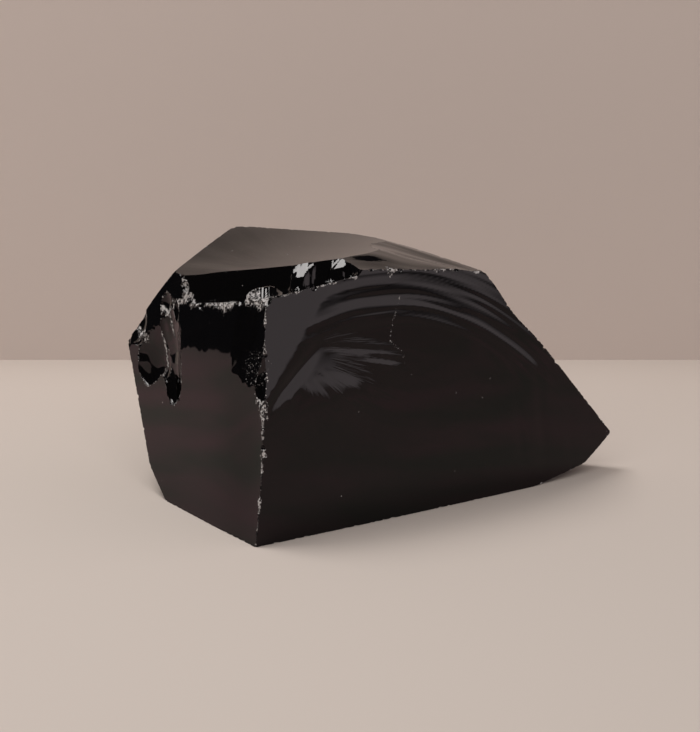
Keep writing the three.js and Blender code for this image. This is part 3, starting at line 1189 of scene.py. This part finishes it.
@dataclass
class Chunk:
    """The whole chunk of obsidian."""

    block: tuple[float, float, float] = (130.0, 96.0, 72.0)
    cuts: tuple[Cut, ...] = FACES + SCARS
    arrises: tuple[Arris, ...] = ARRISES
    bruises: tuple[Bruise, ...] = BRUISES
    glint_patches: tuple[GlintPatch, ...] = GLINT_PATCHES
    scratches_and_glints: tuple[ScratchAndGlint, ...] = SCRATCHES_AND_GLINTS
    plain_chips: float = 0.6
    plain_crushed: float = 0.15
    # How much narrower than long the teeth of a bruised band are, squared.
    tooth_narrowing: float = 8.0
    # Edges sharper than this many degrees are shaded as creases, where no cut says how.
    sharp_angle: float = 32.0
    finish: ObsidianFinish = field(default_factory=ObsidianFinish)

    def build(self) -> bpy.types.Object:
        """Builds, chips and dresses the chunk.

        Returns:
            The finished object, in metres, with its place in its mesh.
        """
        chunk = self.rough_block()
        points = self.cad_points()
        for cut in self.cuts:
            near = points[np.abs(cut.level(points)) < 1.5]
            self.strike(chunk, cut.mesh(near if len(near) else points))
        log.info("struck: %d facets", len(chunk.data.polygons))
        material = self.finish.build()
        worn = self.worn_line(chunk.data)
        for seed, detail in enumerate(Detail):
            self.mark_arrises(chunk)
            self.flake(chunk, EdgeFlaking(detail, seed + 5), material)
            log.info("%s: %d facets", detail.name.lower(), len(chunk.data.polygons))
        self.dress(chunk, material, worn)
        chunk.data.transform(Matrix.Scale(MM, 4))
        return chunk

    def rough_block(self) -> bpy.types.Object:
        """The block that the chunk is struck from, on the floor."""
        wide, deep, high = self.block
        mesh = bpy.data.meshes.new(NODE)
        spots = [(x, y, z) for z in (0, 1) for y in (-1, 1) for x in (-1, 1)]
        corners = [(x * wide / 2, y * deep / 2, z * high) for x, y, z in spots]
        sides = [(0, 2, 3, 1), (4, 5, 7, 6), (0, 1, 5, 4), (1, 3, 7, 5), (3, 2, 6, 7), (2, 0, 4, 6)]
        mesh.from_pydata(corners, [], sides)
        return link(bpy.data.objects.new("obsidian", mesh))

    def cad_points(self) -> np.ndarray:
        """The corners of the CAD solid's facets, in millimetres."""
        points = read(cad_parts[NODE].data.vertices, "co", 3)
        return np.unique(np.round(points / MM, 3), axis=0)

    @staticmethod
    def strike(chunk: bpy.types.Object, tool_mesh: bpy.types.Mesh) -> None:
        """Takes a solid away from the chunk."""
        tool = link(bpy.data.objects.new(tool_mesh.name, tool_mesh))
        modifier = chunk.modifiers.new("strike", "BOOLEAN")
        modifier.operation = "DIFFERENCE"
        modifier.solver = "MANIFOLD"
        modifier.object = tool
        Chunk.settle(chunk)
        bpy.data.objects.remove(tool)
        bpy.data.meshes.remove(tool_mesh)

    @staticmethod
    def settle(chunk: bpy.types.Object) -> None:
        """Turns the chunk's modifiers into its plain mesh and removes them."""
        graph = bpy.context.evaluated_depsgraph_get()
        made = bpy.data.meshes.new_from_object(chunk.evaluated_get(graph))
        chunk.modifiers.clear()
        old, chunk.data = chunk.data, made
        bpy.data.meshes.remove(old)
        made.name = NODE

    def owners(self, mesh: bpy.types.Mesh) -> np.ndarray:
        """Finds the cut that made each facet.

        Args:
            mesh: the chunk's mesh.

        Returns:
            For each facet the index of its cut, or FOOT or FLAKE.
        """
        centres = read(mesh.polygons, "center", 3)
        best = np.full(len(centres), TOUCH)
        owner = np.full(len(centres), FLAKE)
        for index, cut in enumerate(self.cuts):
            miss = np.abs(cut.level(centres))
            better = miss < best
            owner[better], best[better] = index, miss[better]
        owner[centres[:, 2] < 1e-3] = FOOT
        return owner

    def arris_edges(self, mesh: bpy.types.Mesh, owner: np.ndarray) -> tuple[np.ndarray, ...]:
        """Finds the cuts on both sides of every edge.

        Args:
            mesh: the chunk's mesh.
            owner: the cut that made each facet.

        Returns:
            For each edge the lower and the higher of its two cuts, whether it is an arris,
            and its two vertices.
        """
        ends = read(mesh.edges, "vertices", 2, int)
        edges = read(mesh.loops, "edge_index", kind=int)
        low = np.full(len(ends), len(self.cuts))
        high = np.full(len(ends), FLAKE)
        of_loop = self.facet_of_loop(mesh)
        np.minimum.at(low, edges, owner[of_loop])
        np.maximum.at(high, edges, owner[of_loop])
        return low, high, (low != high) & (low > FLAKE), ends

    @staticmethod
    def facet_of_loop(mesh: bpy.types.Mesh) -> np.ndarray:
        """The facet that each corner of the mesh belongs to."""
        totals = read(mesh.polygons, "loop_total", kind=int)
        return np.repeat(np.arange(len(totals)), totals)

    def mark_arrises(self, chunk: bpy.types.Object) -> None:
        """Marks the edges between different cuts, with their chip size and outward way."""
        mesh = chunk.data
        owner = self.owners(mesh)
        low, high, sharp, ends = self.arris_edges(mesh, owner)
        chips = np.full(len(ends), self.plain_chips)
        for arris in self.arrises:
            a, b = sorted(self.number_of(name) for name in arris.between)
            chips[(low == a) & (high == b)] = arris.chips
        normals = read(mesh.polygons, "normal", 3)
        of_loop, vertex = self.facet_of_loop(mesh), read(mesh.loops, "vertex_index", kind=int)
        outward = np.zeros((len(mesh.vertices), 3))
        for cut in set(owner.tolist()):
            mine = owner[of_loop] == cut
            part = np.zeros_like(outward)
            np.add.at(part, vertex[mine], normals[of_loop[mine]])
            outward += part / np.maximum(np.linalg.norm(part, axis=1, keepdims=True), 1e-9)
        outward /= np.maximum(np.linalg.norm(outward, axis=1, keepdims=True), 1e-9)
        size = np.zeros(len(mesh.vertices))
        np.maximum.at(size, ends[sharp].ravel(), np.repeat(chips[sharp], 2))
        self.attribute(mesh, "arris", "BOOLEAN", "EDGE", sharp)
        self.attribute(mesh, "chips", "FLOAT", "POINT", size)
        self.attribute(mesh, "outward", "FLOAT_VECTOR", "POINT", outward)

    def number_of(self, name: str) -> int:
        """The place of a cut in the order of the cuts."""
        return [cut.name for cut in self.cuts].index(name)

    def worn_line(self, mesh: bpy.types.Mesh) -> WornLine:
        """Samples the arrises, with how wide each is crushed."""
        low, high, sharp, ends = self.arris_edges(mesh, self.owners(mesh))
        tips = read(mesh.vertices, "co", 3)[ends[sharp]]
        places, ways = tips.mean(axis=1), tips[:, 1] - tips[:, 0]
        ways /= np.maximum(np.linalg.norm(ways, axis=1, keepdims=True), 1e-9)
        cuts = np.stack([low[sharp], high[sharp]], axis=1)
        widths = np.full(cuts.shape, self.plain_crushed)
        for arris in self.arrises:
            pair = [self.number_of(name) for name in arris.between]
            here = (cuts == sorted(pair)).all(axis=1)
            widths[here] = arris.crush_and_glints[::-1] if pair[0] > pair[1] else arris.crush_and_glints
        x, y, z = places.T
        patchy = 1.0 + 1.3 * noise(x / 1.8 + y / 2.1, z / 2, 3)
        patchy *= np.random.default_rng(12).uniform(0.45, 1.7, len(places))
        for blow in self.bruises:
            away = np.linalg.norm(places - np.array(blow.at), axis=1) / blow.reach
            extra = blow.width * (1 - smoothstep(0.5, 1.0, away))
            widths = np.maximum(widths, extra[:, None])
        return WornLine(places, ways, cuts, widths * np.maximum(patchy, 0.2)[:, None])

    @staticmethod
    def attribute(
        mesh: bpy.types.Mesh, name: str, kind: str, domain: str, values: np.ndarray
    ) -> None:
        """Stores one value for each element of the mesh under a name."""
        if name in mesh.attributes:
            mesh.attributes.remove(mesh.attributes[name])
        made = mesh.attributes.new(name, kind, domain)
        made.data.foreach_set("vector" if kind == "FLOAT_VECTOR" else "value", values.ravel())

    @staticmethod
    def flake(chunk: bpy.types.Object, flaking: EdgeFlaking, material: bpy.types.Material) -> None:
        """Chips the chunk's marked edges."""
        modifier = chunk.modifiers.new("flaking", "NODES")
        tree = flaking.tree()
        modifier.node_group = tree
        sockets = {item.name: item.identifier for item in tree.interface.items_tree}
        modifier[sockets["Material"]] = material
        Chunk.settle(chunk)

    def dress(
        self, chunk: bpy.types.Object, material: bpy.types.Material, worn: WornLine
    ) -> None:
        """Gives the chunk its crack-true shading, its bruised edges and its finish."""
        mesh = chunk.data
        for name in ("arris", "chips", "outward"):
            if name in mesh.attributes:
                mesh.attributes.remove(mesh.attributes[name])
        mesh.materials.clear()
        mesh.materials.append(material)
        mesh.polygons.foreach_set("use_smooth", [True] * len(mesh.polygons))
        mesh.polygons.foreach_set("material_index", [0] * len(mesh.polygons))
        mesh.set_sharp_from_angle(angle=math.radians(self.sharp_angle))
        facet, vertex = self.facet_of_loop(mesh), read(mesh.loops, "vertex_index", kind=int)
        owner = self.owners(mesh)[facet]
        centres = read(mesh.polygons, "center", 3)
        points = read(mesh.vertices, "co", 3)
        shading = read(mesh.corner_normals, "vector", 3)
        path = np.stack([points[vertex, 0] + points[vertex, 1], points[vertex, 2]], 1)
        rays = np.zeros(len(points))
        for index, cut in enumerate(self.cuts):
            loops = np.flatnonzero(owner == index)
            used, back = np.unique(vertex[loops], return_inverse=True)
            if not len(used):
                continue
            if isinstance(cut, HingeFlake):
                inner = CREASE_PULL * (centres[facet[loops]] - points[vertex[loops]])
                shading[loops] = cut.normals(points[vertex[loops]] + inner)
            else:
                shading[loops] = cut.normals(points[used])[back]
            x, y, _ = cut.local(points[used]).T
            leaving, away = cut.marks.path(x, y)
            path[loops] = np.stack([leaving * 30, away], 1)[back]
            rays[used] = np.maximum(rays[used], cut.marks.combed(leaving, away))
        # The bruised bands and the painted glints go into one attribute.
        self.attribute(mesh, "crush_and_glints", "FLOAT", "POINT", self.crush_and_glints(points, owner, vertex, worn))
        self.attribute(mesh, "rays", "FLOAT", "POINT", rays)
        layer = mesh.uv_layers.new(name="crack")
        layer.data.foreach_set("uv", (path * MM).ravel())
        mesh.normals_split_custom_set(shading.tolist())

    def crush_and_glints(
        self, points: np.ndarray, owner: np.ndarray, vertex: np.ndarray, worn: WornLine
    ) -> np.ndarray:
        """Works out how bruised the glass is at each vertex, with the painted glints.

        Args:
            points: the vertices.
            owner: the cut that made each corner's facet.
            vertex: the vertex at each corner.
            worn: the worn arrises.

        Returns:
            1 on a worn arris, falling to 0 at the edge of its bruised band; painted glints raise it in the
            glint patches and along the glint lines.
        """
        crush_and_glints = np.zeros(len(points))
        for index in np.unique(owner):
            mine = np.unique(vertex[owner == index])
            near, way, width = worn.beside(index)
            if not len(near):
                continue
            for part in np.array_split(mine, max(1, len(mine) // 2000)):
                apart = points[part][:, None] - near[None]
                along = np.einsum("ijk,jk->ij", apart, way)
                away = np.sqrt((apart**2).sum(axis=2) + self.tooth_narrowing * along**2)
                close = np.clip(1 - away / width[None], 0, 1).max(axis=1)
                crush_and_glints[part] = np.maximum(crush_and_glints[part], close)
        # Painted glints: the glint patches paint bright specks into the same attribute as the bruised
        # bands.
        for patch in self.glint_patches:
            away = np.linalg.norm(points - np.array(patch.at), axis=1) / patch.reach
            crush_and_glints = np.maximum(crush_and_glints, patch.share * (1 - smoothstep(0.6, 1.0, away)))
        # Scratches and painted glints: whitish lines through points of a cut.
        for scratch_and_glint in self.scratches_and_glints:
            number = self.number_of(scratch_and_glint.cut)
            mine = np.unique(vertex[owner == number])
            if len(mine):
                x, y, _ = self.cuts[number].local(points[mine]).T
                crush_and_glints[mine] = np.maximum(crush_and_glints[mine], scratch_and_glint.whiteness(x, y))
        return crush_and_glints


# -------------------------------------------------------------------------------- the studio


@dataclass
class Studio:
    """The pale floor, the low backdrop, the soft lights and the camera."""

    floor: PlasterFinish = PlasterFinish("floor_plaster", "#cdc3ba")
    wall: PlasterFinish = PlasterFinish("backdrop_plaster", "#cdc0b8", True)
    # Painted reflection: the table is seen only in the glass, tinted reddish and clouded greyer to set the
    # colour of the glass's reflections.
    table: PlasterFinish = PlasterFinish("reflected_table_plaster", "#b09495", mottle="#938f87")
    table_reach: tuple[float, float, float, float] = (-285.0, -420.0, 380.0, 148.0)
    wall_reach: tuple[float, float] = (-225.0, 260.0)
    wall_height: float = 185.0
    # The room as the glass mirrors it, as it lights matt things, and as the camera sees it.
    dark_room: tuple[float, ...] = (0.015, 0.015, 0.018, 1)
    window: tuple[float, ...] = (0.90, 0.77, 0.79, 1)
    fill: tuple[float, ...] = (0.22, 0.22, 0.22, 1)
    horizon: str = "#b9aea4"
    lens: float = 105.0
    sensor: float = 36.0
    pitch: float = 12.5
    aim: tuple[float, float, float] = (-5.2, 4.0, 30.0)
    distance: float = 490.0

    def build(self) -> None:
        """Sets the stage and the camera."""
        floor = self.plane("floor", self.floor, (-3000, -3000, 3000, 3000), -0.05)
        floor.visible_glossy = False
        # Painted reflection: this card stands in for the floor in the glass's reflections only.
        table = self.plane("table", self.table, self.table_reach, -0.02)
        table.visible_camera = table.visible_diffuse = table.visible_shadow = False
        self.backdrop()
        self.lights()
        self.world()
        self.camera()

    def plane(
        self, name: str, finish: PlasterFinish, reach: tuple[float, ...], height: float
    ) -> bpy.types.Object:
        """Lays a level rectangle.

        Args:
            name: its name.
            finish: its finish.
            reach: its lowest x and y and its highest x and y.
            height: its height.

        Returns:
            The rectangle.
        """
        x0, y0, x1, y1 = reach
        corners = [(x0, y0, height), (x1, y0, height), (x1, y1, height), (x0, y1, height)]
        return self.stage_piece(name, corners, finish)

    @staticmethod
    def stage_piece(
        name: str, corners: list[tuple[float, float, float]], finish: PlasterFinish
    ) -> bpy.types.Object:
        """Makes a flat piece of the stage from its corners."""
        mesh = bpy.data.meshes.new(name)
        mesh.from_pydata([[c * MM for c in corner] for corner in corners], [], [(0, 1, 2, 3)])
        mesh.materials.append(finish.build())
        piece = link(bpy.data.objects.new(name, mesh))
        return piece

    def backdrop(self) -> None:
        """Stands the backdrop behind the chunk, seen only from the front."""
        x0, x1 = self.wall_reach
        y, top = self.table_reach[3], self.wall_height
        corners = [(x0, y, -0.2), (x1, y, -0.2), (x1, y, top), (x0, y, top)]
        self.stage_piece("backdrop", corners, self.wall)

    @staticmethod
    def softbox(
        name: str,
        at: tuple[float, float, float],
        size: tuple[float, float],
        watts: float,
        aim: tuple[float, float, float] = (0, 0, 30),
    ) -> bpy.types.Object:
        """Hangs a soft light of nearly white light that points at the chunk."""
        data = bpy.data.lights.new(name, "AREA")
        data.shape = "RECTANGLE"
        data.size, data.size_y = size[0] * MM, size[1] * MM
        data.energy = watts
        data.color = linear("#fffaf8")[:3]
        lamp = link(bpy.data.objects.new(name, data))
        lamp.location = Vector(at) * MM
        lamp.rotation_mode = "QUATERNION"
        lamp.rotation_quaternion = (Vector(aim) - Vector(at)).to_track_quat("-Z", "Y")
        return lamp

    def lights(self) -> None:
        """Hangs the lights."""
        self.softbox("key", (-230, 60, 640), (300, 300), 2.3)
        front = self.softbox("front", (-100, -700, 620), (900, 500), 3.2, (0, 60, 60))
        front.visible_glossy = False

    def world(self) -> None:
        """Paints the room: pale to the camera, and a dim room with a grey window to the glass."""
        world = bpy.data.worlds.new("room")
        bpy.context.scene.world = world
        world.use_nodes = True
        tree = world.node_tree
        tree.nodes.clear()
        way = add_node(tree, "ShaderNodeTexCoord").outputs["Generated"]
        window = add_node(
            tree, "ShaderNodeVectorMath", {0: way, 1: (0.95, -0.31, 0.0)}, operation="DOT_PRODUCT"
        )
        beside = remap(tree, window.outputs["Value"], (0.45, 0.75), easing="SMOOTHSTEP")
        height = add_node(tree, "ShaderNodeSeparateXYZ", {"Vector": way}).outputs["Z"]
        raised = remap(tree, height, (-0.145, -0.02), easing="SMOOTHSTEP")
        glow = calc(tree, "MULTIPLY", beside, raised)
        seen = blend(tree, glow, self.dark_room, self.window)
        ray = add_node(tree, "ShaderNodeLightPath").outputs
        fill = blend(tree, ray["Is Diffuse Ray"], seen, self.fill)
        shown = blend(tree, ray["Is Camera Ray"], fill, linear(self.horizon))
        light = add_node(tree, "ShaderNodeBackground", {"Color": shown})
        add_node(tree, "ShaderNodeOutputWorld", {"Surface": light.outputs[0]})

    def camera(self) -> None:
        """Sets the camera a little above the chunk, looking slightly down."""
        data = bpy.data.cameras.new("camera")
        data.lens, data.sensor_width = self.lens, self.sensor
        camera = link(bpy.data.objects.new("camera", data))
        down = math.radians(self.pitch)
        forward = Vector((0, math.cos(down), -math.sin(down)))
        camera.location = (Vector(self.aim) - forward * self.distance) * MM
        camera.rotation_mode = "QUATERNION"
        camera.rotation_quaternion = forward.to_track_quat("-Z", "Y")
        scene = bpy.context.scene
        scene.camera = camera
        scene.view_settings.view_transform = "Standard"


def main() -> None:
    """Builds the chunk and its stage."""
    logging.basicConfig(level=logging.INFO, format="%(name)s: %(message)s")
    Studio().build()
    log.info("studio: floor, backdrop, lights and camera set")
    chunk = Chunk().build()
    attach(chunk, BODY)
    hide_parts(NODE)
    log.info("chunk: %d facets, %d vertices", len(chunk.data.polygons), len(chunk.data.vertices))


if __name__ == "__main__":
    main()
